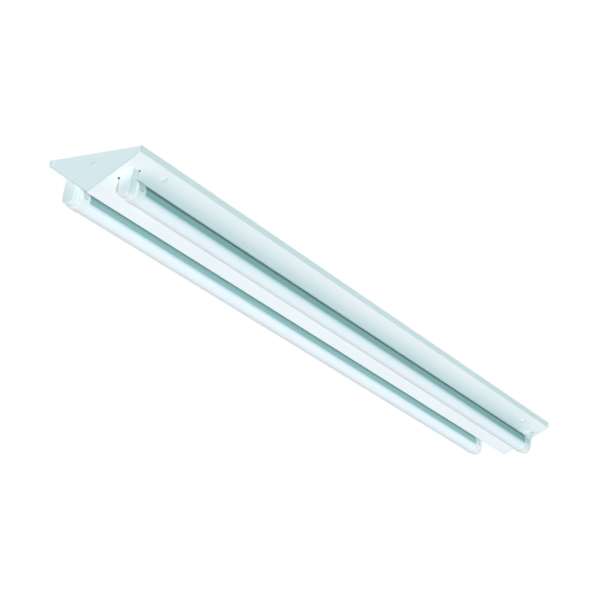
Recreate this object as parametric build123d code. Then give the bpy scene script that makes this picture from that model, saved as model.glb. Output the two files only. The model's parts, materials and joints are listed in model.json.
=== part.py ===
"""Twin LED tube ceiling light: a white trough with a V section and a lamp under each slope.

The origin is the middle of the ceiling face. X runs along the lamps and Z points up at the ceiling.
Pieces at the -X end are called near and those at the +X end far. Left is +Y and right is -Y.
All sizes are in millimetres.
"""
from build123d import *
import os
from math import atan2, cos, degrees, pi, radians, sin, tan

os.makedirs("parts", exist_ok=True)

# Lamps and the room they need between their holders
lamp_length = 1198.0
lamp_spacing = 110.0
lamp_end_play = 1.0
lamp_clearance = 0.6

# Housing sheet
body_width = 182.0
end_room = 16.5
ridge_depth = 64.5
lip_height = 11.0
reflector_sheet = 0.7
reflector_bend = 1.0
ceiling_gap = 0.5
corner_tab = 7.0
corner_round = 0.6
cutout_clearance = 0.4
cutout_relief = 1.6

# End plates, pressed with a rim that lies inside the housing sheet
plate_sheet = 0.8
plate_rim = 9.0
plate_gap = 0.15
knockout_radius = 10.0
knockout_score = 1.0
score_depth = 0.2
plate_screw_drop = 18.0

# Chassis channel
channel_clearance = 5.3
channel_depth = 24.0
channel_sheet = 1.0
channel_bend = 1.6
return_flange = 12.0
ceiling_slot_pitch = 800.0
ceiling_slot_length = 20.0
ceiling_slot_width = 11.0
window_length = 30.0
window_height = 13.0
window_drop = 13.5
window_from_holder = 25.0

# Brackets under the chassis
bracket_sheet = 1.2
bracket_gap = 0.05
reflector_bracket_width = 26.0
reflector_bracket_margin = 9.0
socket_plate_margin = 2.0
socket_plate_drop = 42.0
socket_flange = 10.0

# Lamp tubes
tube_diameter = 33.0
heat_sink_wall = 1.4
heat_sink_web = 1.4
seam_angle = 10.5
seam_gap = 0.15
groove_count = 13
groove_pitch = 7.0
groove_width = 0.9
groove_depth = 0.5
diffuser_wall = 1.1
tongue_wall = 0.9
tongue_gap = 0.1
tongue_depth = 3.0
led_board_width = 22.0
led_board_thickness = 1.0
led_chip_length = 3.0
led_chip_width = 2.8
led_chip_height = 0.7
led_chip_pitch = 18.0
driver_length = 180.0
driver_width = 20.0
driver_thickness = 1.6
driver_from_end = 40.0
driver_film = 0.2
transformer_size = (22.0, 14.0, 8.0)
capacitor_diameter = 8.0
capacitor_length = 20.0
capacitor_sink = 0.5
choke_diameter = 9.0
choke_height = 8.0

# Lamp end caps and contact pins
cap_wall = 0.6
cap_gap = 0.1
cap_length = 17.0
cap_disc = 2.5
cap_bevel = 0.8
tube_end_gap = 0.5
vent_count = 13
vent_pitch = 15.0
vent_width = 1.8
vent_length = 10.5
vent_from_face = 3.0
pin_diameter = 2.35
pin_pitch = 12.7
pin_length = 7.5
pin_fit = 0.03

# Lamp holders
holder_thickness = 12.5
holder_width = 23.4
holder_foot_width = 19.0
holder_foot_radius = 8.0
holder_drop = 15.0
holder_top_depth = 14.0
holder_edge = 1.0
cover_thickness = 3.6
cover_step = 0.6
cover_edge = 0.5
entry_slot = 3.0
rotor_radius = 9.0
rotor_proud = 0.4
rotor_flange = 1.0
rotor_flange_thickness = 1.0
rotor_slot = 2.9
rotor_fit = 0.1
rotor_play = 0.3
hub_radius = 5.0
hub_seat = 1.8
chamber_radius = 9.6
pin_end_room = 0.7
contact_gap = 0.35
contact_thickness = 0.5
contact_width = 2.8
contact_reach = 3.5
contact_tail = 20.0
contact_play = 0.1
lead_below_top = 12.8
lead_depth = 6.0
holder_screw_below_top = 6.8

# Fasteners
reflector_screw_from_holder = 44.0
reflector_screw_from_lip = 14.5
reflector_screw_head = 10.0
reflector_screw_dome = 2.6
reflector_screw_diameter = 4.0
small_screw_head = 7.5
small_screw_dome = 0.7
small_screw_diameter = 3.0
screw_hole_play = 0.5
thread_play = 0.05
screw_grip = 7.0
recess_width = 1.1
recess_depth = 0.5
recess_share = 0.55
dome_share = 0.7
cut_through = 20.0
nut_size = 9.0
nut_height = 4.0
rivet_diameter = 4.0
rivet_head = 7.0
rivet_head_height = 1.0
rivet_tail = 5.6

# Supply entry and terminal block
bush_place = 60.0
bush_bore = 13.0
bush_collar = 22.0
bush_flange = 28.0
bush_flange_height = 2.5
bush_length = 9.0
terminal_place = 150.0
terminal_length = 30.0
terminal_height = 15.0
terminal_edge = 0.8
terminal_ways = 3
terminal_pitch = 10.0
terminal_side = 4.0
terminal_ear = 11.0
terminal_ear_height = 4.0
terminal_hole_pitch = 4.6
terminal_hole_depth = 9.0
button_size = 6.0
button_proud = 3.5
button_seat = 3.0
button_travel = 2.5
button_play = 0.3
button_edge = 0.6

# Leads inside the chassis
lead_diameter = 2.4
lead_bend = 12.0
lead_play = 0.2
lane_from_wall = 6.0
lane_turn_room = 14.0
turn_share = 0.45
lead_window_lead = 3.0
lead_wall_gap = 2.0
lead_front_run = 16.0
near_lane_end = 40.0
far_lane_end = 30.0
earth_place = 215.0
lug_diameter = 9.0
lug_thickness = 0.8
lug_barrel = 3.6
lug_barrel_length = 7.0
lug_barrel_stop = 1.0
lug_reach = 6.0
lug_lead_run = 12.0
saddle_length = 9.0
saddle_wall = 1.4
near_saddles = (-480.0, -240.0, 0.0)
far_saddles = (300.0, 480.0)

# Values that follow from the sizes above
holder_gap = lamp_length + 2 * lamp_end_play
body_length = holder_gap + 2 * (holder_thickness + end_room)
channel_width = lamp_spacing - holder_width - 2 * channel_clearance
slope = atan2(ridge_depth - lip_height, body_width / 2)
lamp_offset = lamp_spacing / 2
tube_radius = tube_diameter / 2
cap_radius = tube_radius + cap_gap + cap_wall
plate_face = body_length / 2 - reflector_sheet - plate_gap
chassis_end = plate_face - plate_sheet
holder_back = holder_gap / 2 + holder_thickness
screw_place = holder_gap / 2 - reflector_screw_from_holder
screw_offset = body_width / 2 - reflector_screw_from_lip
window_place = holder_gap / 2 - window_from_holder
pin_tip = pin_length - lamp_end_play
chamber_end = pin_tip + pin_end_room
seam_drop = tube_radius * sin(radians(seam_angle))
tube_half = lamp_length / 2 - cap_disc - tube_end_gap
lead_height = -channel_sheet - terminal_height / 2
ENDS = {"near": -1, "far": 1}
SIDES = {"left": 1, "right": -1}


def slope_height(y, inset=0.0):
    """Height of a slope at the distance y from the middle, moved square to the sheet by inset."""
    return -ridge_depth + abs(y) * tan(slope) + inset / cos(slope)


lamp_height = slope_height(lamp_offset) - (cap_radius + lamp_clearance) / cos(slope)
holder_rise = -holder_top_depth - lamp_height
lead_rise = holder_rise - lead_below_top
holder_screw_rise = holder_rise - holder_screw_below_top


def save(shape, name):
    """Write one node."""
    export_step(shape, f"parts/{name}.step")
    print(f"{name}: {len(shape.solids())} solid(s), {shape.volume:.1f} mm3")


def block(x, y, z):
    """Box between three pairs of limits."""
    size = [limits[1] - limits[0] for limits in (x, y, z)]
    centre = [(limits[0] + limits[1]) / 2 for limits in (x, y, z)]
    return Pos(*centre) * Box(*size)


def along(section, start, end):
    """Solid of a section, drawn as Y across and Z up, between two places along X."""
    return extrude(Plane.YZ.offset(start) * section, end - start)


def rod(radius, start, end, y=0.0, z=0.0):
    """Cylinder along X."""
    return Pos(0, y, z) * along(Circle(radius), start, end)


def upright(radius, low, high, x=0.0, y=0.0):
    """Cylinder along Z."""
    return Pos(x, y, (low + high) / 2) * Cylinder(radius, high - low)


def group(shapes):
    """Several separate solids in one node."""
    return Compound(children=[solid for shape in shapes for solid in shape.solids()])


def strip(low, high, half_width):
    """Rectangle between two heights, as wide to the left as to the right."""
    return Pos(0, (low + high) / 2) * Rectangle(2 * half_width, high - low)


def at_end(shape, end):
    """A piece drawn for the far end, turned half round for the near one."""
    return shape if end > 0 else Rot(0, 0, 180) * shape


def at_lamp(end, side, reach):
    """Place on a lamp's axis, at reach from the middle, with X pointing out of the fixture."""
    turn = 0 if end > 0 else 180
    return Pos(end * reach, side * lamp_offset, lamp_height) * Rot(0, 0, turn)


def slope_plane(end, side):
    """Plane on the outside of a slope where a reflector screw sits, with Z pointing outwards."""
    origin = (end * screw_place, side * screw_offset, slope_height(screw_offset))
    return Plane(origin=origin, x_dir=(1, 0, 0), z_dir=(0, side * sin(slope), -cos(slope)))


def screw(head, dome, diameter, length):
    """Domed screw with a cross recess: the head stands on Z = 0 and the shank points down."""
    cap = Pos(0, 0, dome / 2) * Cylinder(head / 2, dome)
    cap = fillet(cap.edges().sort_by(Axis.Z)[-1], dome * dome_share)
    bar = Pos(0, 0, dome) * Box(head * recess_share, recess_width, 2 * recess_depth)
    shank = Pos(0, 0, -length / 2) * Cylinder(diameter / 2, length)
    return cap + shank - bar - Rot(0, 0, 90) * bar


def trough_region(inset, top):
    """The V section of the housing, moved inwards by inset and closed at the height top."""
    half = body_width / 2 - inset
    corner = slope_height(half, inset)
    ridge = slope_height(0, inset)
    outline = Polyline((-half, top), (-half, corner), (0, ridge), (half, corner), (half, top), close=True)
    region = make_face(outline)
    folds = region.vertices().sort_by(Axis.Y)[:3]
    return fillet(folds, reflector_bend + max(reflector_sheet - inset, 0))


def trough_shell(inset, sheet):
    """Section of a sheet that follows the housing, open at the top."""
    return trough_region(inset, -ceiling_gap) - trough_region(inset + sheet, ceiling_gap)


def holder_cutouts():
    """Openings for the two holders of the far end, with round reliefs at two opposite corners."""
    front = holder_gap / 2 - cutout_clearance
    back = holder_back + cutout_clearance
    half = holder_width / 2 + cutout_clearance
    cuts = Part()
    for side in SIDES.values():
        middle = side * lamp_offset
        cuts = cuts + block((front, back), (middle - half, middle + half), (-ridge_depth, -lip_height))
        for x, across in ((back, -half), (front, half)):
            cuts = cuts + upright(cutout_relief, -ridge_depth, -lip_height, x, middle + across)
    return cuts


def make_reflector():
    """The V-shaped sheet with its lips, corner tabs, holder cut-outs and screw holes."""
    sheet = along(trough_shell(0, reflector_sheet), -body_length / 2, body_length / 2)
    half = body_width / 2
    corners = trough_region(0, -ceiling_gap) & strip(-lip_height, -ceiling_gap, half)
    tabs = along(corners - strip(-lip_height, 0, half - corner_tab), -reflector_sheet, 0)
    for end in ENDS.values():
        sheet = sheet + at_end(Pos(body_length / 2, 0, 0) * tabs, end)
    folds = sheet.edges().filter_by(Axis.Z).group_by(Axis.X)
    for fold in (folds[0], folds[-1]):
        outer = fold.group_by(Axis.Y)
        sheet = fillet(outer[0] + outer[-1], corner_round)
        folds = sheet.edges().filter_by(Axis.Z).group_by(Axis.X)
    cutouts = holder_cutouts()
    hole_radius = reflector_screw_diameter / 2 + screw_hole_play
    for end in ENDS.values():
        sheet = sheet - at_end(cutouts, end)
        for side in SIDES.values():
            sheet = sheet - slope_plane(end, side) * Cylinder(hole_radius, cut_through)
    return sheet


def make_end_plate():
    """Pressed end plate with a rim, a scored half-round knock-out and its screw hole."""
    rim_inset = reflector_sheet + plate_gap
    outside = trough_region(rim_inset, -ceiling_gap)
    inside = trough_region(rim_inset + plate_sheet, ceiling_gap)
    plate = along(outside, chassis_end - plate_rim, plate_face)
    plate = plate - along(inside, chassis_end - plate_rim, chassis_end)
    score = Circle(knockout_radius) - Circle(knockout_radius - knockout_score)
    plate = plate - Pos(0, 0, -ceiling_gap) * along(score, plate_face - score_depth, plate_face)
    hole = small_screw_diameter / 2 + screw_hole_play
    return plate - rod(hole, chassis_end, plate_face, z=-plate_screw_drop)


def rivet_places():
    """Where the brackets are riveted to the chassis flanges, for the far end."""
    across = channel_width / 2 - return_flange / 2
    lengthwise = (screw_place, holder_back + bracket_sheet + socket_flange / 2)
    return [(x, side * across) for x in lengthwise for side in SIDES.values()]


def make_chassis():
    """Channel with closed ends and return flanges, which is bolted to the ceiling."""
    half = channel_width / 2
    outer = block((-chassis_end, chassis_end), (-half, half), (-channel_depth, 0))
    long_edges = outer.edges().filter_by(Axis.X).group_by(Axis.Z)[-1]
    outer = fillet(long_edges, channel_bend)
    room = block(
        (-chassis_end + channel_sheet, chassis_end - channel_sheet),
        (-half + channel_sheet, half - channel_sheet),
        (-channel_depth + channel_sheet, -channel_sheet),
    )
    mouth = block(
        (-chassis_end + channel_sheet, chassis_end - channel_sheet),
        (-half + return_flange, half - return_flange),
        (-channel_depth, -channel_sheet),
    )
    chassis = outer - room - mouth
    slot = Pos(0, 0, -channel_sheet) * extrude(
        SlotOverall(ceiling_slot_length, ceiling_slot_width), channel_sheet
    )
    window = block(
        (-window_length / 2, window_length / 2),
        (-channel_width, channel_width),
        (-window_drop - window_height / 2, -window_drop + window_height / 2),
    )
    rivet_radius = rivet_diameter / 2 + thread_play
    rivet_hole = upright(rivet_radius, -channel_depth, -channel_depth + channel_sheet)
    chassis = chassis - upright(bush_collar / 2, -channel_sheet, 0, bush_place)
    screw_hole = small_screw_diameter / 2 + thread_play
    for x in (terminal_place - terminal_length / 2 - terminal_ear / 2, earth_place):
        chassis = chassis - upright(screw_hole, -channel_sheet, 0, x)
    for end in ENDS.values():
        chassis = chassis - Pos(end * ceiling_slot_pitch / 2, 0, 0) * slot
        chassis = chassis - Pos(end * window_place, 0, 0) * window
        chassis = chassis - rod(screw_hole, -channel_sheet, channel_sheet, z=-plate_screw_drop).moved(
            Location((end * (chassis_end - channel_sheet / 2), 0, 0))
        )
        for x, y in rivet_places():
            chassis = chassis - Pos(end * x, y, 0) * rivet_hole
    return chassis


def make_reflector_bracket():
    """Strip across the chassis whose wings lie along the slopes and take the reflector screws."""
    low = -channel_depth - bracket_sheet
    wing_end = screw_offset + reflector_bracket_margin
    inset = reflector_sheet + bracket_gap
    wings = trough_shell(inset, bracket_sheet) & strip(low, -ceiling_gap, wing_end)
    fold = (low - slope_height(0, inset)) / tan(slope)
    flat = strip(low, low + bracket_sheet, fold)
    half = reflector_bracket_width / 2
    bracket = along(wings + flat, screw_place - half, screw_place + half)
    hole_radius = reflector_screw_diameter / 2 + screw_hole_play
    for side in SIDES.values():
        bracket = bracket - slope_plane(1, side) * Cylinder(hole_radius, cut_through)
    return bracket - bracket_rivet_holes()


def bracket_rivet_holes():
    """Rivet holes through everything that lies under the far end of the chassis."""
    radius = rivet_diameter / 2 + thread_play
    low = -channel_depth - bracket_sheet
    return Part() + [Pos(x, y, 0) * upright(radius, low, -channel_depth) for x, y in rivet_places()]


def make_socket_bracket():
    """Upright plate behind the two lamp holders of the far end, hung from the chassis by a flange."""
    half = lamp_offset + holder_width / 2 + socket_plate_margin
    inside = trough_region(reflector_sheet + socket_plate_margin, -holder_top_depth)
    plate = inside & strip(-socket_plate_drop, -holder_top_depth, half)
    plate = plate - strip(-channel_depth, 0, channel_width / 2 + socket_plate_margin)
    bracket = along(plate, holder_back, holder_back + bracket_sheet)
    bracket = bracket + block(
        (holder_back, holder_back + bracket_sheet + socket_flange),
        (-channel_width / 2, channel_width / 2),
        (-channel_depth - bracket_sheet, -channel_depth),
    )
    hole = small_screw_diameter / 2 + screw_hole_play
    for side in SIDES.values():
        place = lamp_height + holder_screw_rise
        bracket = bracket - rod(hole, holder_back, holder_back + bracket_sheet, side * lamp_offset, place)
    return bracket - bracket_rivet_holes()


def make_rivet():
    """Blind rivet that holds a bracket to a chassis flange."""
    low = -channel_depth - bracket_sheet
    high = -channel_depth + channel_sheet
    head = upright(rivet_head / 2, low - rivet_head_height, low)
    head = fillet(head.edges().sort_by(Axis.Z)[0], rivet_head_height * dome_share)
    tail = upright(rivet_tail / 2, high, high + rivet_head_height)
    return head + upright(rivet_diameter / 2, low, high) + tail


def make_nut(end, side):
    """Square weld nut on the inner face of a reflector bracket's wing."""
    seat = reflector_sheet + bracket_gap + bracket_sheet
    nut = Pos(0, 0, -seat - nut_height / 2) * Box(nut_size, nut_size, nut_height)
    nut = fillet(nut.edges().filter_by(Axis.Z), button_edge)
    bore_radius = reflector_screw_diameter / 2 + thread_play
    bore = Pos(0, 0, -seat - nut_height / 2) * Cylinder(bore_radius, nut_height)
    return slope_plane(end, side) * (nut - bore)


def holder_outline(inset):
    """Holder section about the lamp's axis: its sides narrow below the axis to a rounded foot."""
    top = holder_width / 2 - inset
    foot = holder_foot_width / 2 - inset
    low = -holder_drop + inset
    left = [(-top, holder_rise), (-top, 0), (-foot, low)]
    right = [(foot, low), (top, 0), (top, holder_rise)]
    section = make_face(Polyline(*left, *right, close=True))
    return fillet(section.vertices().sort_by(Axis.Y)[:2], holder_foot_radius)


def contact_limits(play):
    """Limits of the right-hand contact spring inside a holder."""
    near = pin_pitch / 2 + pin_diameter / 2 + contact_gap
    start = cover_thickness + contact_play
    x = (start, start + contact_width + play)
    y = (near - play, near + contact_thickness + play)
    z = (-contact_reach - play, contact_tail + play)
    return x, y, z


def make_holder_body():
    """Back half of a lamp holder, with the rotor chamber and the slots for its contacts."""
    body = along(holder_outline(0), cover_thickness, holder_thickness)
    body = fillet(body.faces().sort_by(Axis.X)[-1].edges(), holder_edge)
    body = body - rod(chamber_radius, cover_thickness, chamber_end)
    body = body - rod(hub_radius + rotor_fit, chamber_end, chamber_end + hub_seat)
    body = body - block(
        (cover_thickness, chamber_end), (-entry_slot / 2, entry_slot / 2), (-holder_drop, 0)
    )
    slot = block(*contact_limits(contact_play))
    body = body - slot - mirror(slot, Plane.XZ)
    body = body - block(
        (cover_thickness, cover_thickness + contact_play),
        (-pin_pitch, pin_pitch),
        (-contact_reach, contact_tail),
    )
    body = body - rod(lead_diameter / 2 + lead_play, cover_thickness, lead_depth + lead_play, z=lead_rise)
    grip = screw_grip + thread_play
    hole = small_screw_diameter / 2 + thread_play
    return body - rod(hole, holder_thickness - grip, holder_thickness, z=holder_screw_rise)


def make_holder_cover():
    """Front half of a lamp holder, with the rotor's bearing and the slot that lets the pins in."""
    cover = along(holder_outline(cover_step), 0, cover_thickness)
    cover = fillet(cover.faces().sort_by(Axis.X)[0].edges(), cover_edge)
    flange_seat = cover_thickness - rotor_flange_thickness - 2 * rotor_play
    cover = cover - rod(rotor_radius + rotor_fit, 0, cover_thickness)
    cover = cover - rod(rotor_radius + rotor_flange + rotor_play, flange_seat, cover_thickness)
    cover = cover - block((0, cover_thickness), (-entry_slot / 2, entry_slot / 2), (-holder_drop, 0))
    return cover - rod(lead_diameter / 2 + lead_play, 0, cover_thickness, z=lead_rise)


def make_rotor():
    """Slotted rotor that the lamp's pins turn in; it runs in the cover and in the body's seat."""
    flange_end = cover_thickness - rotor_play
    rotor = rod(rotor_radius, -rotor_proud, flange_end)
    rotor = fillet(rotor.faces().sort_by(Axis.X)[0].edges(), rotor_proud / 2)
    rotor = rotor + rod(rotor_radius + rotor_flange, flange_end - rotor_flange_thickness, flange_end)
    rotor = rotor + rod(hub_radius, flange_end, chamber_end + hub_seat - rotor_play)
    reach = 2 * rotor_radius
    slot_end = (pin_tip + chamber_end) / 2
    return rotor - block((-rotor_proud, slot_end), (-reach, reach), (-rotor_slot / 2, rotor_slot / 2))


def make_contacts():
    """Pair of contact springs beside the lamp's pins."""
    leaf = block(*contact_limits(0))
    return group([leaf, mirror(leaf, Plane.XZ)])


def half_plane(low, high):
    """Wide strip that keeps the part of a lamp section between two heights."""
    return strip(low, high, tube_diameter)


def make_heat_sink():
    """Aluminium back of a lamp: a hollow half round with a web for the board and fine grooves."""
    inner = tube_radius - heat_sink_wall
    section = Circle(tube_radius) & half_plane(-seam_drop, tube_diameter)
    section = section - (Circle(inner) & half_plane(0, tube_diameter))
    section = section - (Circle(inner) & half_plane(-tube_diameter, -heat_sink_web))
    groove = Rectangle(2 * groove_depth, groove_width)
    first = 90 - groove_pitch * (groove_count - 1) / 2
    for index in range(groove_count):
        section = section - Rot(0, 0, first + groove_pitch * index) * Pos(tube_radius, 0) * groove
    return along(section, -tube_half, tube_half)


def make_diffuser():
    """Opal front of a lamp, with tongues that slide inside the heat sink's edges."""
    edge = -seam_drop - seam_gap
    wall = Circle(tube_radius) - Circle(tube_radius - diffuser_wall)
    section = wall & half_plane(-tube_diameter, edge)
    tongue = tube_radius - heat_sink_wall - tongue_gap
    inner = Circle(tongue - tongue_wall)
    tongue_top = -heat_sink_web - seam_gap
    section = section + ((Circle(tongue) - inner) & half_plane(edge - tongue_depth, tongue_top))
    overlap = Circle(tube_radius - diffuser_wall / 2) - inner
    section = section + (overlap & half_plane(edge - tongue_depth, edge))
    return along(section, -tube_half, tube_half)


def make_led_board():
    """Board under the heat sink's web."""
    section = strip(-heat_sink_web - led_board_thickness, -heat_sink_web, led_board_width / 2)
    return along(section, -tube_half, tube_half)


def make_led_chips():
    """Row of light-emitting chips under the board."""
    low = -heat_sink_web - led_board_thickness - led_chip_height / 2
    count = int((2 * tube_half - led_chip_pitch) / led_chip_pitch)
    chip = Pos(0, 0, low) * Box(led_chip_length, led_chip_width, led_chip_height)
    return group([place * chip for place in GridLocations(led_chip_pitch, 1, count, 1)])


def make_driver():
    """Driver board with its main parts, lying above the web near one end of the lamp."""
    start = -tube_half + driver_from_end
    top = driver_film + driver_thickness
    across = (-driver_width / 2, driver_width / 2)
    board = block((start, start + driver_length), across, (driver_film, top))
    middle = start + driver_length / 2
    length, width, height = transformer_size
    board = board + Pos(middle, 0, top + height / 2) * Box(length, width, height)
    half = capacitor_length / 2
    height = top + capacitor_diameter / 2 - capacitor_sink
    capacitor = rod(capacitor_diameter / 2, -half, half, z=height)
    choke = upright(choke_diameter / 2, top, top + choke_height)
    quarter = driver_length / 4
    return board + Pos(middle - quarter, 0, 0) * capacitor + Pos(middle + quarter, 0, 0) * choke


def make_cap():
    """Lamp end cap: a sleeve over the tube with vent slots, closed by the disc that carries the pins."""
    cap = rod(cap_radius, -cap_length, 0)
    cap = fillet(cap.faces().sort_by(Axis.X)[-1].edges(), cap_bevel)
    cap = cap - rod(tube_radius + cap_gap, -cap_length, -cap_disc)
    slot = SlotOverall(vent_length, vent_width)
    vent = Pos(-vent_from_face - vent_length / 2, 0, tube_radius) * extrude(slot, 2 * cap_wall, both=True)
    first = -vent_pitch * (vent_count - 1) / 2
    for index in range(vent_count):
        cap = cap - Rot(first + vent_pitch * index, 0, 0) * vent
    for side in SIDES.values():
        cap = cap - rod(pin_diameter / 2 + pin_fit, -cap_disc, 0, y=side * pin_pitch / 2)
    return cap


def make_pin():
    """Contact pin with a rounded tip, drawn on the lamp's axis with the cap's face at X = 0."""
    pin = rod(pin_diameter / 2, -cap_disc, pin_length)
    return fillet(pin.faces().sort_by(Axis.X)[-1].edges(), pin_diameter / 4)


def terminal_half_width():
    """Half of the terminal block's width, from its ways."""
    return terminal_ways * terminal_pitch / 2 + terminal_side


def button_pocket(play, low, high):
    """Square pocket or stem of one release button, centred under the terminal block."""
    half = button_size / 2 + play
    return block((-half, half), (-half, half), (low, high))


def make_terminal_block():
    """Push-in terminal block with a screwed ear, wire holes at both ends and button pockets."""
    high = -channel_sheet
    low = high - terminal_height
    half = terminal_half_width()
    length = terminal_length / 2
    body = block((-length, length), (-half, half), (low, high))
    body = fillet(body.edges().group_by(Axis.Z)[0], terminal_edge)
    ear_low = high - terminal_ear_height
    ear = block((-length - terminal_ear, -length), (-half / 2, half / 2), (ear_low, high))
    hole = small_screw_diameter / 2 + screw_hole_play
    ear = ear - upright(hole, ear_low, high, -length - terminal_ear / 2)
    body = body + ear
    pocket_top = low + button_seat + button_travel + button_play
    wire = lead_diameter / 2 + lead_play
    for index in range(terminal_ways):
        y = (index - (terminal_ways - 1) / 2) * terminal_pitch
        body = body - Pos(0, y, 0) * button_pocket(button_play, low, pocket_top)
        for shift in (-terminal_hole_pitch / 2, terminal_hole_pitch / 2):
            body = body - rod(wire, length - terminal_hole_depth, length, y + shift, lead_height)
            body = body - rod(wire, -length, terminal_hole_depth - length, y + shift, lead_height)
    return Pos(terminal_place, 0, 0) * body


def make_button(index):
    """Release button that is pushed up into the terminal block to free a wire."""
    low = -channel_sheet - terminal_height
    y = (index - (terminal_ways - 1) / 2) * terminal_pitch
    button = button_pocket(0, low - button_proud, low + button_seat)
    button = fillet(button.edges().group_by(Axis.Z)[0], button_edge)
    return Pos(terminal_place, y, 0) * button


def make_cable_bush():
    """Bush in the chassis, level with the ceiling face, for the supply cable."""
    bush = upright(bush_collar / 2 - thread_play, -channel_sheet, 0)
    bush = bush + upright(bush_flange / 2, -channel_sheet - bush_flange_height, -channel_sheet)
    bush = bush + upright(bush_collar / 2 - thread_play, -bush_length, -channel_sheet)
    bush = fillet(bush.edges().group_by(Axis.Z)[0], button_edge)
    return Pos(bush_place, 0, 0) * (bush - upright(bush_bore / 2, -bush_length, 0))


def make_earth_lug():
    """Ring lug under the earth screw, with the barrel that grips the earth lead."""
    top = -channel_sheet
    ring = upright(lug_diameter / 2, top - lug_thickness, top, earth_place)
    barrel_end = earth_place - lug_reach
    closed = barrel_end - lug_barrel_stop
    neck = block((closed, earth_place), (-lug_barrel / 4, lug_barrel / 4), (top - lug_thickness, top))
    height = top - lug_barrel / 2
    mouth = barrel_end - lug_barrel_length
    barrel = rod(lug_barrel / 2, mouth, barrel_end, z=height)
    barrel = barrel - rod(lead_diameter / 2 + thread_play, mouth, closed, z=height)
    hole = upright(small_screw_diameter / 2 + screw_hole_play, top - lug_thickness, top, earth_place)
    return ring + neck + barrel - hole


def lead_lanes():
    """Where the pairs of leads run along the chassis: live lane to the near end, neutral to the far."""
    near = channel_width / 2 - channel_sheet - lane_from_wall
    return {"near": near, "far": -terminal_pitch * (terminal_ways - 1) / 2}


def make_saddle(x, lane):
    """Saddle under the chassis web, round one pair of leads."""
    half = terminal_hole_pitch / 2 + lead_diameter / 2 + lead_play
    gap = block(
        (-saddle_length / 2, saddle_length / 2),
        (-half, half),
        (lead_height - lead_diameter / 2 - lead_play, lead_height + lead_diameter / 2 + lead_play),
    )
    outer = block(
        (-saddle_length / 2, saddle_length / 2),
        (-half - saddle_wall, half + saddle_wall),
        (lead_height - lead_diameter / 2 - lead_play - saddle_wall, -channel_sheet),
    )
    outer = fillet(outer.edges().filter_by(Axis.X).group_by(Axis.Z)[0], saddle_wall / 2)
    return Pos(x, lane, 0) * (outer - gap)


def lead_start(way, shift):
    """Inner end of a lead in one way of the terminal block."""
    y = (way - (terminal_ways - 1) / 2) * terminal_pitch + shift
    return terminal_place + terminal_length / 2 - terminal_hole_depth, y, lead_height


def lead_finish(end, side):
    """The last three points of a lead: the chassis window, the holder's front and the holder's inside."""
    entry = lamp_height + lead_rise
    beside = channel_width / 2 - lead_wall_gap
    window = (end * (window_place - lead_window_lead), side * beside, -window_drop)
    front = (end * (holder_gap / 2 - lead_front_run), side * lamp_offset, entry)
    inside = (end * (holder_gap / 2 + lead_depth), side * lamp_offset, entry)
    return window, front, inside


def sweep_lead(points, radii, name):
    """Insulated lead along straight runs with rounded corners; prints its length and a volume test."""
    path = FilletPolyline(*points, radius=radii)
    section = Plane(origin=path @ 0, z_dir=path % 0) * Circle(lead_diameter / 2)
    lead = sweep(section, path=path)
    share = lead.volume / (pi * lead_diameter**2 / 4 * path.length)
    print(f"{name}: {path.length:.0f} mm long, volume over section times length {share:.5f}")
    save(lead, name)


def make_leads():
    """Two live leads to the near holders, two neutral leads to the far ones, and the earth lead."""
    half_pitch = terminal_hole_pitch / 2
    near_lane = lead_lanes()["near"]
    block_face = terminal_place + terminal_length / 2
    for side_name, side in SIDES.items():
        shift = -side * half_pitch
        start = lead_start(terminal_ways - 1, shift)
        lane = near_lane - shift
        turn_place = block_face + lane_turn_room - shift
        turn_bend = turn_share * (lane - start[1])
        corners = [(turn_place, start[1], lead_height), (turn_place, lane, lead_height)]
        lane_end = -screw_place if side > 0 else -screw_place + near_lane_end
        route = [start, *corners, (lane_end, lane, lead_height), *lead_finish(-1, side)]
        radii = [turn_bend, turn_bend, lead_bend, lead_bend, lead_bend]
        sweep_lead(route, radii, f"lead_near_{side_name}")
        start = lead_start(0, -shift)
        lane_end = screw_place - far_lane_end
        route = [start, (lane_end, start[1], lead_height), *lead_finish(1, side)]
        sweep_lead(route, [lead_bend, lead_bend, lead_bend], f"lead_far_{side_name}")
    start = lead_start((terminal_ways - 1) // 2, -half_pitch)
    lug_height = -channel_sheet - lug_barrel / 2
    barrel_start = earth_place - lug_reach - lug_barrel_length
    leave = (block_face + terminal_pitch, start[1], lead_height)
    before = (barrel_start - lug_lead_run, 0, lug_height)
    inside = (earth_place - lug_reach - 2 * lug_barrel_stop, 0, lug_height)
    sweep_lead([start, leave, before, inside], [lead_bend, lead_bend], "earth_lead")


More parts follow.
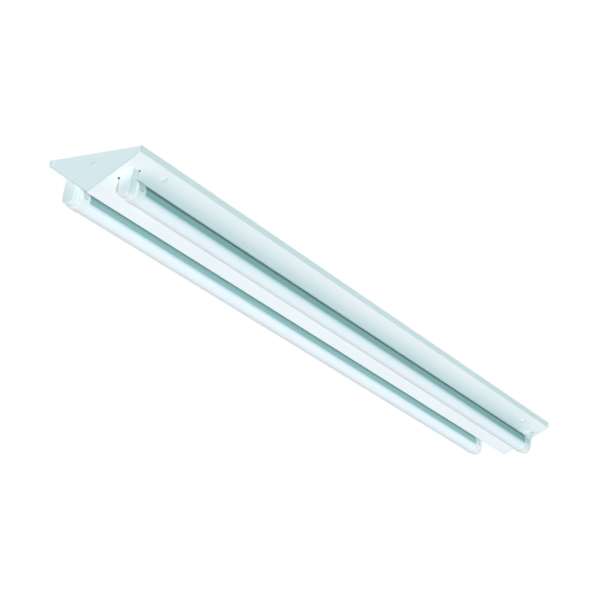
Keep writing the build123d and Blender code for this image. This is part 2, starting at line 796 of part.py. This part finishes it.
def make_screws():
    """The four kinds of screw, each kind a group of its own."""
    plate_grip = plate_sheet + channel_sheet + screw_grip
    reflector_grip = reflector_sheet + bracket_gap + bracket_sheet + nut_height
    reflector_screw = screw(
        reflector_screw_head, reflector_screw_dome, reflector_screw_diameter, reflector_grip
    )
    corners = [slope_plane(end, side) for end in ENDS.values() for side in SIDES.values()]
    save(group([corner * reflector_screw for corner in corners]), "reflector_screws")
    outwards = Plane(origin=(plate_face, 0, -plate_screw_drop), z_dir=(1, 0, 0))
    plate_screw = outwards * screw(small_screw_head, small_screw_dome, small_screw_diameter, plate_grip)
    save(group([at_end(plate_screw, end) for end in ENDS.values()]), "end_plate_screws")
    holder_screw = screw(
        small_screw_head, small_screw_dome, small_screw_diameter, bracket_sheet + screw_grip
    )
    behind = Plane(origin=(bracket_sheet + holder_thickness, 0, holder_screw_rise), z_dir=(1, 0, 0))
    places = [at_lamp(end, side, holder_gap / 2) for end in ENDS.values() for side in SIDES.values()]
    save(group([place * (behind * holder_screw) for place in places]), "holder_screws")
    ear = (terminal_place - terminal_length / 2 - terminal_ear / 2, terminal_ear_height)
    lug = (earth_place, lug_thickness)
    for name, (x, stack) in {"terminal_screw": ear, "earth_screw": lug}.items():
        under = Plane(origin=(x, 0, -channel_sheet - stack), z_dir=(0, 0, -1))
        length = stack + channel_sheet
        save(under * screw(small_screw_head, small_screw_dome, small_screw_diameter, length), name)


def make_housing():
    """Chassis, brackets, end plates and reflector."""
    save(make_chassis(), "chassis")
    save(make_reflector(), "reflector")
    end_plate = make_end_plate()
    socket_bracket = make_socket_bracket()
    reflector_bracket = make_reflector_bracket()
    for end_name, end in ENDS.items():
        save(at_end(end_plate, end), f"end_plate_{end_name}")
        save(at_end(socket_bracket, end), f"socket_bracket_{end_name}")
        save(at_end(reflector_bracket, end), f"reflector_bracket_{end_name}")
    rivet = make_rivet()
    rivets = [at_end(Pos(x, y, 0) * rivet, end) for end in ENDS.values() for x, y in rivet_places()]
    save(group(rivets), "bracket_rivets")
    nuts = [make_nut(end, side) for end in ENDS.values() for side in SIDES.values()]
    save(group(nuts), "reflector_nuts")


def make_holders():
    """Four lamp holders, each a body, a cover, a rotor and a pair of contacts."""
    pieces = {
        "holder_body": make_holder_body(),
        "holder_cover": make_holder_cover(),
        "rotor": make_rotor(),
        "contacts": make_contacts(),
    }
    for end_name, end in ENDS.items():
        for side_name, side in SIDES.items():
            place = at_lamp(end, side, holder_gap / 2)
            for name, piece in pieces.items():
                save(place * piece, f"{name}_{end_name}_{side_name}")


def make_lamps():
    """Two lamps, each of eight pieces."""
    pieces = {
        "heat_sink": make_heat_sink(),
        "diffuser": make_diffuser(),
        "led_board": make_led_board(),
        "led_chips": make_led_chips(),
        "driver_board": make_driver(),
    }
    cap = make_cap()
    pin = make_pin()
    for side_name, side in SIDES.items():
        for name, piece in pieces.items():
            save(Pos(0, side * lamp_offset, lamp_height) * piece, f"{name}_{side_name}")
        pins = []
        for end_name, end in ENDS.items():
            place = at_lamp(end, side, lamp_length / 2)
            save(place * cap, f"end_cap_{end_name}_{side_name}")
            pins += [place * Pos(0, across * pin_pitch / 2, 0) * pin for across in SIDES.values()]
        save(group(pins), f"pins_{side_name}")


def make_supply():
    """Cable bush, terminal block, buttons, earth lug, saddles and leads."""
    save(make_cable_bush(), "cable_bush")
    save(make_terminal_block(), "terminal_block")
    for index in range(terminal_ways):
        save(make_button(index), f"release_button_{index + 1}")
    save(make_earth_lug(), "earth_lug")
    lanes = lead_lanes()
    saddles = [make_saddle(x, lanes["near"]) for x in near_saddles]
    saddles += [make_saddle(x, lanes["far"]) for x in far_saddles]
    save(group(saddles), "lead_saddles")
    make_leads()


make_housing()
make_screws()
make_holders()
make_lamps()
make_supply()
print(f"lamp axis at y = {lamp_offset:.3f}, z = {lamp_height:.3f}; slope {degrees(slope):.2f} degrees")
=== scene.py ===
# %% [markdown]
# A ceiling light with two lamp tubes
# This lesson dresses a finished set of solids: a white trough of folded sheet, four lamp holders and two
# tubes with aluminium backs and opal fronts. The solids already have their real size and place, so the
# work here is looks: paint, plastic and metal, and finer meshes where the solids are too coarse to shine
# well.

# %% Load the solids
import bmesh
import bpy
import json
from math import asin, atan2, cos, pi, radians, sin
from mathutils import Matrix, Quaternion, Vector


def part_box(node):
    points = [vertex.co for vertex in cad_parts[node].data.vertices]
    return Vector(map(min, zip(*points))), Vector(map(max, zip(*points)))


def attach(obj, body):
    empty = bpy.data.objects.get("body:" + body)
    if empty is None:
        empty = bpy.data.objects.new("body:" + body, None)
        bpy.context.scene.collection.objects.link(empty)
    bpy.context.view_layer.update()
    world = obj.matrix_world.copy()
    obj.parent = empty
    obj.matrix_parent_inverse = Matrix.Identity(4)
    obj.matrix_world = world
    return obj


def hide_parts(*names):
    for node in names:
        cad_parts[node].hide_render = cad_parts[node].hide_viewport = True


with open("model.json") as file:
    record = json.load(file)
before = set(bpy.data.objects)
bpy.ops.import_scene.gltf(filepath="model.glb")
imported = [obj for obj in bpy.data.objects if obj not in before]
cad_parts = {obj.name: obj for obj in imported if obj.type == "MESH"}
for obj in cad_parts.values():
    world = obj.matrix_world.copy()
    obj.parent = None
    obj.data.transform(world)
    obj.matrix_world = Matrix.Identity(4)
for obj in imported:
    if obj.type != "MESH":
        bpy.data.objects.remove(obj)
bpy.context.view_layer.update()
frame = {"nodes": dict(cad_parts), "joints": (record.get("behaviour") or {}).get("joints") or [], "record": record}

nodes = frame["nodes"]
joints = {joint["name"]: joint for joint in frame["joints"]}
mm = 0.001

# %% [markdown]
# The light hangs under a ceiling, and the picture looks up at it from below one end. A long lens keeps the
# far end nearly as large as the near one. The camera also leans a little, so it gets a turn about its own
# line of sight after it has been aimed.

# %% Camera
camera_place = Vector((-2.2407, -1.7153, -1.0093))
camera_target = Vector((-0.0997, 0.0, -0.0205))
camera_lean = radians(10.01)
camera_lens = 104.07
camera_sensor = 36.0

camera_data = bpy.data.cameras.new("camera")
camera_data.lens = camera_lens
camera_data.sensor_width = camera_sensor
camera = bpy.data.objects.new("camera", camera_data)
aim = (camera_target - camera_place).to_track_quat("-Z", "Y")
camera.rotation_mode = "QUATERNION"
camera.rotation_quaternion = aim @ Quaternion((0, 0, 1), camera_lean)
camera.location = camera_place
bpy.context.scene.collection.objects.link(camera)
bpy.context.scene.camera = camera
print(f"camera {(camera_target - camera_place).length:.2f} m from what it looks at")

# %% [markdown]
# Shaders are graphs of nodes, and sums are easier to read as sums. A Link stands for one output of a node,
# and arithmetic on it adds the Math nodes. A Finish is one material: its node method adds any other node,
# settings first and then the sockets, and the rest are short names for what most finishes need.


# %% Links and finishes
class Link:
    """One output of a node. Arithmetic on it adds Math nodes to the same graph."""

    def __init__(self, graph, socket):
        self.graph = graph
        self.socket = socket

    def maths(self, operation, first, second):
        made = self.graph.node("ShaderNodeMath", {"operation": operation}, {0: first, 1: second})
        return made["Value"]

    def __add__(self, other):
        return self.maths("ADD", self, other)

    def __sub__(self, other):
        return self.maths("SUBTRACT", self, other)

    def __rsub__(self, other):
        return self.maths("SUBTRACT", other, self)

    def __mul__(self, other):
        return self.maths("MULTIPLY", self, other)

    def __gt__(self, other):
        return self.maths("GREATER_THAN", self, other)

    def __abs__(self):
        return self.maths("ABSOLUTE", self, 0.0)

    __radd__ = __add__
    __rmul__ = __mul__


def shade(red, green, blue):
    """A colour given as it shows on a screen, from 0 to 255, as the linear values that shaders use."""
    parts = [channel / 255 for channel in (red, green, blue)]
    curve = [part / 12.92 if part <= 0.04045 else ((part + 0.055) / 1.055) ** 2.4 for part in parts]
    return (*curve, 1.0)


class Graph:
    """A shader graph: one method adds any node, and two more name the nodes that are used most."""

    def __init__(self, tree):
        self.tree = tree

    def feed(self, socket, value):
        if isinstance(value, Link):
            self.tree.links.new(value.socket, socket)
        else:
            socket.default_value = value

    def node(self, kind, settings=(), sockets=()):
        """Add a node: its settings first, then the values or links of its sockets."""
        made = self.tree.nodes.new(kind)
        for name, value in dict(settings).items():
            setattr(made, name, value)
        for key, value in dict(sockets).items():
            by_name = [s for s in made.inputs if key in (s.identifier, s.name)]
            self.feed(made.inputs[key] if isinstance(key, int) else by_name[0], value)
        return {socket.identifier: Link(self, socket) for socket in made.outputs}

    def mix(self, factor, first, second):
        """A colour between two others."""
        sockets = {"Factor_Float": factor, "A_Color": first, "B_Color": second}
        return self.node("ShaderNodeMix", {"data_type": "RGBA"}, sockets)["Result_Color"]

    def remap(self, value, low, high):
        """Stretch the values between low and high to the range from 0 to 1."""
        sockets = {"Value": value, "From Min": low, "From Max": high}
        return self.node("ShaderNodeMapRange", {"clamp": True}, sockets)["Result"]


class Finish(Graph):
    """A material with one Principled shader. Constants are set on the shader's own sockets."""

    def __init__(self, name, **constants):
        self.material = bpy.data.materials.new(name)
        self.material.use_nodes = True
        super().__init__(self.material.node_tree)
        self.shader = self.tree.nodes["Principled BSDF"]
        for socket, value in constants.items():
            self.set(socket.replace("_", " ").title(), value)
        self.place = self.node("ShaderNodeTexCoord")["Object"]

    def set(self, socket, value):
        """Give one socket of the shader a value or a link."""
        self.feed(next(s for s in self.shader.inputs if s.name.lower() == socket.lower()), value)

    def noise(self, size, stretch=(1, 1, 1), detail=2.0):
        """Cloudy noise whose blotches are about size metres wide, squeezed by stretch."""
        placed = self.node("ShaderNodeMapping", sockets={"Vector": self.place, "Scale": stretch})["Vector"]
        sockets = {"Vector": placed, "Scale": 1 / size, "Detail": detail}
        return self.node("ShaderNodeTexNoise", sockets=sockets)["Fac"]

    def axis(self, name):
        """The place along X, Y or Z, in metres from the origin of the object."""
        return self.node("ShaderNodeSeparateXYZ", sockets={"Vector": self.place})[name]

    def relief(self, height, depth):
        """Raise and sink the surface by a height that goes from 0 to 1, depth metres deep."""
        sockets = {"Height": height, "Distance": depth, "Strength": 1.0}
        self.set("Normal", self.node("ShaderNodeBump", sockets=sockets)["Normal"])


print("finishes ready")

# %% [markdown]
# The trough is sheet steel with a white powder coat. Powder melts into a skin that is never quite flat: it
# has a fine orange-peel relief and slow changes of gloss. Noises at different sizes give that. The tone
# changes so little that the eye reads it as light, which is what real paint does. The painted screws get a
# duller coat.


# %% White powder coat
def powder_coat(name, light, deep):
    finish = Finish(name, specular_ior_level=0.42)
    cloud = finish.remap(finish.noise(220 * mm, detail=3.0), 0.3, 0.7)
    peel = finish.noise(1.6 * mm, detail=1.0)
    dust = finish.remap(finish.noise(6 * mm, detail=4.0), 0.68, 0.78)
    tone = finish.mix(cloud, deep, light)
    finish.set("Base Color", finish.mix(dust * 0.25, tone, shade(214, 226, 226)))
    finish.set("Roughness", 0.40 + cloud * 0.08 + dust * 0.15)
    finish.relief(peel, 0.02 * mm)
    return finish.material


paint = powder_coat("white_powder_coat", shade(241, 248, 248), shade(236, 245, 246))
dull_paint = powder_coat("dull_white_paint", shade(226, 236, 236), shade(218, 230, 230))
print(paint.name, dull_paint.name)

# %% [markdown]
# The back of each tube is an aluminium extrusion with a cool grey-green anodised skin. The die leaves
# hair-thin lines along its whole length, so its noise is squeezed across the tube and stretched along it.
# A dark line of painted shade runs along the outer shoulder of each tube, below the sheet. Its height is
# measured from the middle of the lamp, and its edges fade out.

# %% Anodised aluminium
lamp_level = -52.8 * mm
lamp_offset = 55.0 * mm
shadow_line_height = 11.0 * mm
shadow_line_half = 2.5 * mm
shadow_line_fade = 2.5 * mm


def anodised_aluminium():
    finish = Finish("anodised_aluminium", metallic=0.2)
    lines = finish.noise(0.5 * mm, stretch=(0.004, 1, 1), detail=3.0)
    bands = finish.noise(5 * mm, stretch=(0.01, 1, 1))
    tone = finish.mix(bands, shade(153, 197, 195), shade(170, 211, 209))
    # Painted shade: a dark line on the outer shoulder, where the sheet shades the tube.
    away = abs(finish.axis("Z") - (lamp_level + shadow_line_height))
    outer = abs(finish.axis("Y")) > lamp_offset
    painted_shadow = finish.remap(away, shadow_line_half + shadow_line_fade, shadow_line_half) * outer
    tone = finish.mix(painted_shadow, tone, shade(54, 98, 97))
    finish.set("Base Color", finish.mix(lines * 0.4, tone, shade(135, 178, 178)))
    finish.set("Roughness", 0.36 + lines * 0.16)
    finish.relief(lines, 0.01 * mm)
    return finish.material


aluminium = anodised_aluminium()
print(aluminium.name)

# %% [markdown]
# The front of a tube is opal plastic, which scatters light inside itself. A little subsurface scattering
# softens its shading, and its gloss is broken by faint flow marks along the extrusion. Near the seam it is
# darker, a painted shade.

# %% Opal plastic
seam_drop = 3.0 * mm
seam_shade_fade = 4.5 * mm


def opal_plastic():
    finish = Finish("opal_plastic", subsurface_weight=0.2, subsurface_scale=4 * mm, coat_roughness=0.2)
    flow = finish.noise(8 * mm, stretch=(0.02, 1, 1), detail=2.0)
    cloud = finish.noise(160 * mm)
    tone = finish.mix(cloud, shade(240, 248, 253), shade(245, 250, 254))
    seam_level = lamp_level - seam_drop
    # Painted shade: the plastic gets darker towards the seam with the metal back.
    seam_shade = finish.remap(finish.axis("Z"), seam_level - seam_shade_fade, seam_level)
    finish.set("Base Color", finish.mix(seam_shade, tone, shade(194, 220, 222)))
    finish.set("Roughness", 0.30 + flow * 0.12)
    finish.set("Coat Weight", 0.15 + flow * 0.1)
    finish.relief(flow, 0.01 * mm)
    return finish.material


opal = opal_plastic()
print(opal.name)

# %% [markdown]
# Moulded plastics differ in colour, gloss and texture but are built alike: a sparkle of fine mould
# texture, slow flow marks, and a base tone. One function with a few settings makes them all.


# %% Moulded plastics
def moulded(name, tone, deep, roughness, texture=0.5 * mm, depth=0.02 * mm):
    finish = Finish(name, specular_ior_level=0.45)
    flow = finish.remap(finish.noise(14 * mm, detail=3.0), 0.3, 0.7)
    speckle = finish.noise(texture, detail=2.0)
    finish.set("Base Color", finish.mix(flow, tone, deep))
    finish.set("Roughness", roughness + speckle * 0.12)
    finish.relief(speckle, depth)
    return finish.material


plastics = {
    "holder_plastic": moulded("holder_plastic", shade(237, 245, 245), shade(229, 239, 239), 0.30),
    "rotor_plastic": moulded("rotor_plastic", shade(232, 238, 236), shade(224, 232, 230), 0.42),
    "cap_plastic": moulded("cap_plastic", shade(238, 245, 244), shade(230, 239, 238), 0.34),
    "board_white": moulded("board_white", shade(232, 234, 230), shade(222, 226, 222), 0.45),
    "chip_yellow": moulded("chip_yellow", shade(240, 214, 110), shade(228, 196, 88), 0.30),
    "driver_green": moulded("driver_green", shade(42, 92, 58), shade(32, 74, 46), 0.38),
    "terminal_plastic": moulded("terminal_plastic", shade(222, 224, 218), shade(210, 212, 206), 0.40),
    "button_plastic": moulded("button_plastic", shade(230, 120, 36), shade(214, 104, 26), 0.32),
    "bush_rubber": moulded("bush_rubber", shade(38, 38, 39), shade(28, 28, 29), 0.62, depth=0.05 * mm),
    "saddle_nylon": moulded("saddle_nylon", shade(232, 230, 216), shade(222, 219, 203), 0.45),
    "lead_live": moulded("lead_live", shade(40, 40, 42), shade(30, 30, 32), 0.45),
    "lead_neutral": moulded("lead_neutral", shade(228, 228, 222), shade(216, 216, 210), 0.45),
    "lead_earth": moulded("lead_earth", shade(40, 122, 52), shade(30, 104, 42), 0.45),
}
print(f"{len(plastics)} plastics")

# %% [markdown]
# Hot-dip zinc freezes into flat crystals, and each one catches the light in its own way. Voronoi cells
# have the same look: one random value for each cell changes tone and gloss together.


# %% Metals
def zinc_sheet():
    finish = Finish("zinc_sheet", metallic=0.9)
    cells = finish.node("ShaderNodeTexVoronoi", sockets={"Vector": finish.place, "Scale": 1 / (9 * mm)})
    parts = finish.node("ShaderNodeSeparateColor", sockets={"Color": cells["Color"]})
    fog = finish.noise(60 * mm, detail=3.0)
    tone = finish.mix(parts["Red"], shade(150, 155, 158), shade(182, 187, 189))
    finish.set("Base Color", finish.mix(fog * 0.5, tone, shade(160, 164, 165)))
    finish.set("Roughness", 0.44 + parts["Green"] * 0.14 + fog * 0.08)
    finish.relief(parts["Red"], 0.004 * mm)
    return finish.material


def turned_metal(name, tone, deep, roughness):
    finish = Finish(name, metallic=1.0)
    fog = finish.remap(finish.noise(3 * mm, detail=4.0), 0.3, 0.7)
    scratch = finish.noise(0.3 * mm, stretch=(0.1, 1, 1), detail=2.0)
    finish.set("Base Color", finish.mix(fog, tone, deep))
    finish.set("Roughness", roughness + scratch * 0.14)
    finish.relief(scratch, 0.005 * mm)
    return finish.material


metals = {
    "zinc_steel": zinc_sheet(),
    "fastener_steel": turned_metal("fastener_steel", shade(188, 190, 192), shade(166, 168, 171), 0.26),
    "contact_bronze": turned_metal("contact_bronze", shade(206, 160, 104), shade(184, 138, 84), 0.30),
    "pin_brass": turned_metal("pin_brass", shade(222, 188, 116), shade(202, 166, 94), 0.24),
}
print(f"{len(metals)} metals")

# %% [markdown]
# Most solids keep the shape they came with, and only change their finish. The record says which slot each
# of them belongs to, so one table from slot to material dresses them all. The screws that show are set
# apart.

# %% Dress the solids
finishes = {"white_paint": paint, "heat_sink_metal": aluminium, "opal_plastic": opal, **plastics, **metals}
slot_of = {entry["node"]: entry["material_slot"] for entry in frame["record"]["subparts"]}
for name, solid in nodes.items():
    for place in solid.material_slots:
        place.material = finishes[slot_of[name]]
for name in ("end_plate_screws", "reflector_screws"):
    for place in nodes[name].material_slots:
        place.material = dull_paint
print(f"{len(nodes)} solids dressed in {len(finishes) + 1} finishes")

# %% [markdown]
# New pieces start as a bmesh. This helper turns one into an object that sits at the origin, rides on a
# body, and hides the solid that it stands for. Smooth shading with sharp edges by angle keeps folds round
# and corners crisp.

# %% Finishing a piece
sharp_from = radians(40.0)


def add_piece(form, name, body, node):
    mesh = bpy.data.meshes.new(name)
    form.to_mesh(mesh)
    form.free()
    mesh.shade_smooth()
    mesh.set_sharp_from_angle(angle=sharp_from)
    mesh.materials.append(finishes[slot_of[node]])
    piece = bpy.data.objects.new(name, mesh)
    bpy.context.scene.collection.objects.link(piece)
    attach(piece, body)
    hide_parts(node)
    print(f"{name}: {len(mesh.polygons)} faces, rides on {body}")


# %% [markdown]
# The housing is one sheet of steel with three folds. Five points give its section, and drawing them out
# along the light makes two lips and two slopes. Bevelled edges become the folds. Each flat face is then
# inset, which leaves a narrow border beside the folds, so that their roundness does not shade the whole
# face.

# %% Folded sheet
half_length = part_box("reflector")[1].x
half_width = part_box("reflector")[1].y
sheet_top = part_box("reflector")[1].z
ridge_depth = 64.5 * mm
lip_height = 11.0 * mm
fold_radius = 1.7 * mm
fold_segments = 8
flat_border = 1.5 * mm
sheet_wall = 0.7 * mm
rise = (ridge_depth - lip_height) / half_width
slope_angle = atan2(rise, 1.0)


def draw_sheet():
    form = bmesh.new()
    section = [(-half_width, sheet_top), (-half_width, -lip_height), (0, -ridge_depth)]
    section += [(half_width, -lip_height), (half_width, sheet_top)]
    verts = [form.verts.new((-half_length, y, z)) for y, z in section]
    edges = [form.edges.new(pair) for pair in zip(verts, verts[1:])]
    made = bmesh.ops.extrude_edge_only(form, edges=edges)["geom"]
    moved = [item for item in made if isinstance(item, bmesh.types.BMVert)]
    bmesh.ops.translate(form, verts=moved, vec=(2 * half_length, 0, 0))
    folds = [edge for edge in form.edges if len(edge.link_faces) == 2]
    reach = fold_radius * sin(slope_angle) / (1 + cos(slope_angle))
    bmesh.ops.bevel(
        form, geom=folds, offset=reach, offset_type="OFFSET", segments=fold_segments, profile=0.5,
        affect="EDGES", material=-1,
    )
    flats = [face for face in form.faces if face.calc_area() > half_length * lip_height]
    bmesh.ops.inset_individual(form, faces=flats, thickness=flat_border, use_even_offset=True)
    return form


housing = draw_sheet()
print(f"folded sheet: {len(housing.faces)} faces")

# %% [markdown]
# The lamp holders come through the slopes, and so do the screws. Each opening is a closed ring of edges on
# the slope. The opening of a holder has two straight corners and two that are relieved by a round hole, as
# a punch leaves them. Triangle fill then closes a slope again, between its border and all the rings in it.

# %% Openings in the slopes
opening_front = 599.6 * mm
opening_back = 612.9 * mm
opening_half = 12.1 * mm
relief_radius = 2.2 * mm
screw_place = (556.0 * mm, 76.5 * mm)
screw_hole = 2.5 * mm
outline_steps = 24


def arc(x, y, radius, first, last, squeeze=1.0):
    """Points on an arc in plan; squeeze shortens it across the light."""
    angles = [radians(first + (last - first) * index / outline_steps) for index in range(outline_steps + 1)]
    return [(x + radius * cos(angle), y + radius * squeeze * sin(angle)) for angle in angles]


def opening_rings(side):
    """Plan outlines of the far openings in one slope: the holder's and the screw's."""
    low = side * lamp_offset - opening_half
    high = side * lamp_offset + opening_half
    relieved_back = arc(opening_back, low, relief_radius, 180, 450)
    relieved_front = arc(opening_front, high, relief_radius, 0, 270)
    holder = [(opening_front, low), *relieved_back, (opening_back, high), *relieved_front]
    x, y = screw_place
    screw = arc(x, side * y, screw_hole, 0, 360, cos(slope_angle))[:-1]
    return [holder, screw]


def cut_openings(form):
    for side in (1, -1):
        flat = max(
            (face for face in form.faces if side * face.calc_center_median().y > 0),
            key=lambda face: face.calc_area(),
        )
        edges = list(flat.edges)
        bmesh.ops.delete(form, geom=[flat], context="FACES_ONLY")
        near = [[(-x, -y) for x, y in ring] for ring in opening_rings(-side)]
        for ring in opening_rings(side) + near:
            verts = [form.verts.new((x, y, abs(y) * rise - ridge_depth)) for x, y in ring]
            edges += [form.edges.new(pair) for pair in zip(verts, verts[1:] + verts[:1])]
        bmesh.ops.triangle_fill(form, edges=edges, use_beauty=True)


cut_openings(housing)
print(f"sheet with openings: {len(housing.faces)} faces")

# %% [markdown]
# Last, the sheet gets its thickness. The faces must all look outwards first, because solidify works along
# their normals. A small tab at each corner closes the lips towards the end plates.

# %% Sheet thickness and corner tabs
tab_width = 6.6 * mm
tab_low = -10.6 * mm

bmesh.ops.recalc_face_normals(housing, faces=housing.faces[:])
if max(housing.faces, key=lambda face: face.calc_area()).normal.z > 0:
    bmesh.ops.reverse_faces(housing, faces=housing.faces[:])
bmesh.ops.solidify(housing, geom=housing.faces[:], thickness=sheet_wall)
bmesh.ops.recalc_face_normals(housing, faces=housing.faces[:])
for end in (-1, 1):
    for side in (-1, 1):
        centre = Vector((
            end * (half_length - sheet_wall / 2),
            side * (half_width - sheet_wall / 2 - tab_width / 2),
            (sheet_top + tab_low) / 2,
        ))
        size = Matrix.Diagonal((sheet_wall, tab_width, sheet_top - tab_low, 1.0))
        bmesh.ops.create_cube(housing, size=1.0, matrix=Matrix.Translation(centre) @ size)
add_piece(housing, "housing_sheet", "fixture", "reflector")

# %% [markdown]
# The back and the front of a tube are both part of one circle about the lamp's axis. A single vertex spun
# about that axis draws the arc, the back's fine grooves are vertices pulled in, and the arc is drawn out
# along the lamp and given a wall.

# %% Lamp tubes
groove_pitch = radians(7.0)
groove_count = 13
groove_half = radians(1.6)
groove_depth = 0.5 * mm
tube_step = radians(0.5)
back_wall = 1.4 * mm
front_wall = 1.1 * mm


def tube_arc(node, radius, first, last):
    """Wire arc at a tube's near end, about the X axis, from one angle to another."""
    form = bmesh.new()
    start = form.verts.new((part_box(node)[0].x, radius * cos(first), radius * sin(first)))
    steps = round((last - first) / tube_step)
    bmesh.ops.spin(
        form, geom=[start], cent=(0, 0, 0), axis=(1, 0, 0), angle=last - first, steps=steps
    )
    return form


def draw_out(form, node, wall, axis):
    """Draw a wire out along a tube, give it a wall inwards, and bring it to the lamp's axis."""
    low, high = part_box(node)
    made = bmesh.ops.extrude_edge_only(form, edges=form.edges[:])
    moved = [item for item in made["geom"] if isinstance(item, bmesh.types.BMVert)]
    bmesh.ops.translate(form, verts=moved, vec=(high.x - low.x, 0, 0))
    bmesh.ops.recalc_face_normals(form, faces=form.faces[:])
    bmesh.ops.solidify(form, geom=form.faces[:], thickness=wall)
    bmesh.ops.recalc_face_normals(form, faces=form.faces[:])
    bmesh.ops.translate(form, verts=form.verts[:], vec=(0, axis.y, axis.z))


def in_groove(angle):
    nearest = round((angle - pi / 2) / groove_pitch)
    return abs(nearest) <= groove_count // 2 and abs(angle - pi / 2 - nearest * groove_pitch) < groove_half


for side in ("left", "right"):
    axis = Vector(joints[f"lamp_{side}_twist"]["pos_m"])
    tube_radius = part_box(f"heat_sink_{side}")[1].y - axis.y
    seam_angle = asin((axis.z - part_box(f"heat_sink_{side}")[0].z) / tube_radius)
    back = tube_arc(f"heat_sink_{side}", tube_radius, -seam_angle, pi + seam_angle)
    for vert in back.verts:
        if in_groove(atan2(vert.co.z, vert.co.y)):
            shrink = 1 - groove_depth / tube_radius
            vert.co.y *= shrink
            vert.co.z *= shrink
    draw_out(back, f"heat_sink_{side}", back_wall, axis)
    add_piece(back, f"tube_back_{side}", f"lamp_{side}", f"heat_sink_{side}")
    front = tube_arc(f"diffuser_{side}", tube_radius, pi + seam_angle, 2 * pi - seam_angle)
    draw_out(front, f"diffuser_{side}", front_wall, axis)
    add_piece(front, f"tube_front_{side}", f"lamp_{side}", f"diffuser_{side}")

# %% [markdown]
# In a studio the room itself lights the object, and a few lamps shape it. The world stands for the room:
# it is dim and cool on the side that the picture is taken from and paler on the other, while the camera
# sees plain white behind the object. Sun lamps do the rest, because they are as strong at the far end as
# at the near one. A sun's place only says from where it shines, and a wide angle makes it soft. A key and
# a side light from the front model the slopes, a warm fill from below opens the shadows, and three more
# lights reach the near end, the upper side and the back.

# %% Light
room_near = (0.055, 0.165, 0.165, 1.0)
room_far = (0.41, 0.51, 0.52, 1.0)
near_side = (-0.62, -0.62, -0.48)
far_from = 0.3
far_full = -0.7

world = bpy.data.worlds.new("studio")
world.use_nodes = True
world.node_tree.nodes.clear()
bpy.context.scene.world = world
sky = Graph(world.node_tree)
direction = sky.node("ShaderNodeTexCoord")["Generated"]
share = sky.node("ShaderNodeVectorMath", {"operation": "DOT_PRODUCT"}, {0: direction, 1: near_side})["Value"]
tone = sky.mix(sky.remap(share, far_from, far_full), room_near, room_far)
room = sky.node("ShaderNodeBackground", sockets={"Color": tone})["Background"]
backdrop = sky.node("ShaderNodeBackground", sockets={"Color": (1.0, 1.0, 1.0, 1.0)})["Background"]
seen = sky.node("ShaderNodeLightPath")["Is Camera Ray"]
both = sky.node("ShaderNodeMixShader", sockets={0: seen, 1: room, 2: backdrop})["Shader"]
sky.node("ShaderNodeOutputWorld", sockets={"Surface": both})


def add_light(name, place, colour, power, angle):
    data = bpy.data.lights.new(name, "SUN")
    data.color = colour
    data.energy = power
    data.angle = radians(angle)
    light = bpy.data.objects.new(name, data)
    light.location = place
    light.rotation_euler = (-Vector(place)).to_track_quat("-Z", "Y").to_euler()
    bpy.context.scene.collection.objects.link(light)


add_light("key", (-1.6, -2.05, -1.5), (0.965, 0.97, 1.0), 2.12, 6.0)
add_light("side", (-1.25, -2.34, -1.41), (0.65, 0.97, 1.0), 0.36, 8.0)
add_light("fill", (-1.5, 0.0, -2.0), (1.0, 0.61, 0.63), 1.48, 50.0)
add_light("near end", (-3.0, 0.0, 0.0), (0.14, 0.97, 1.0), 0.31, 50.0)
add_light("overhead", (0.0, 0.0, 3.0), (1.0, 1.0, 1.0), 1.4, 30.0)
add_light("far side", (1.6, 1.6, 2.6), (1.0, 1.0, 1.0), 1.0, 30.0)
bpy.context.scene.view_settings.view_transform = "Standard"
bpy.context.scene.view_settings.look = "None"
print("light ready")

# %% [markdown]
# A pale floor lies far below. Its tone is a little warm, so that it looks white in the cool room. Only the
# camera sees it, so it does not change the light on the object.

# %% Floor
floor_depth = 8.0
floor_half = 16.0
floor_form = bmesh.new()
bmesh.ops.create_grid(floor_form, x_segments=1, y_segments=1, size=floor_half)
bmesh.ops.translate(floor_form, verts=floor_form.verts[:], vec=(0, 0, -floor_depth))
floor_mesh = bpy.data.meshes.new("floor")
floor_form.to_mesh(floor_mesh)
floor_form.free()
floor = bpy.data.objects.new("floor", floor_mesh)
floor.visible_diffuse = False
floor.visible_glossy = False
floor.visible_shadow = False
floor_finish = Finish("pale_floor", roughness=0.8)
floor_tone = floor_finish.mix(floor_finish.noise(0.4), shade(251, 239, 239), shade(255, 243, 243))
floor_finish.set("Base Color", floor_tone)
floor_mesh.materials.append(floor_finish.material)
bpy.context.scene.collection.objects.link(floor)
print("floor ready")
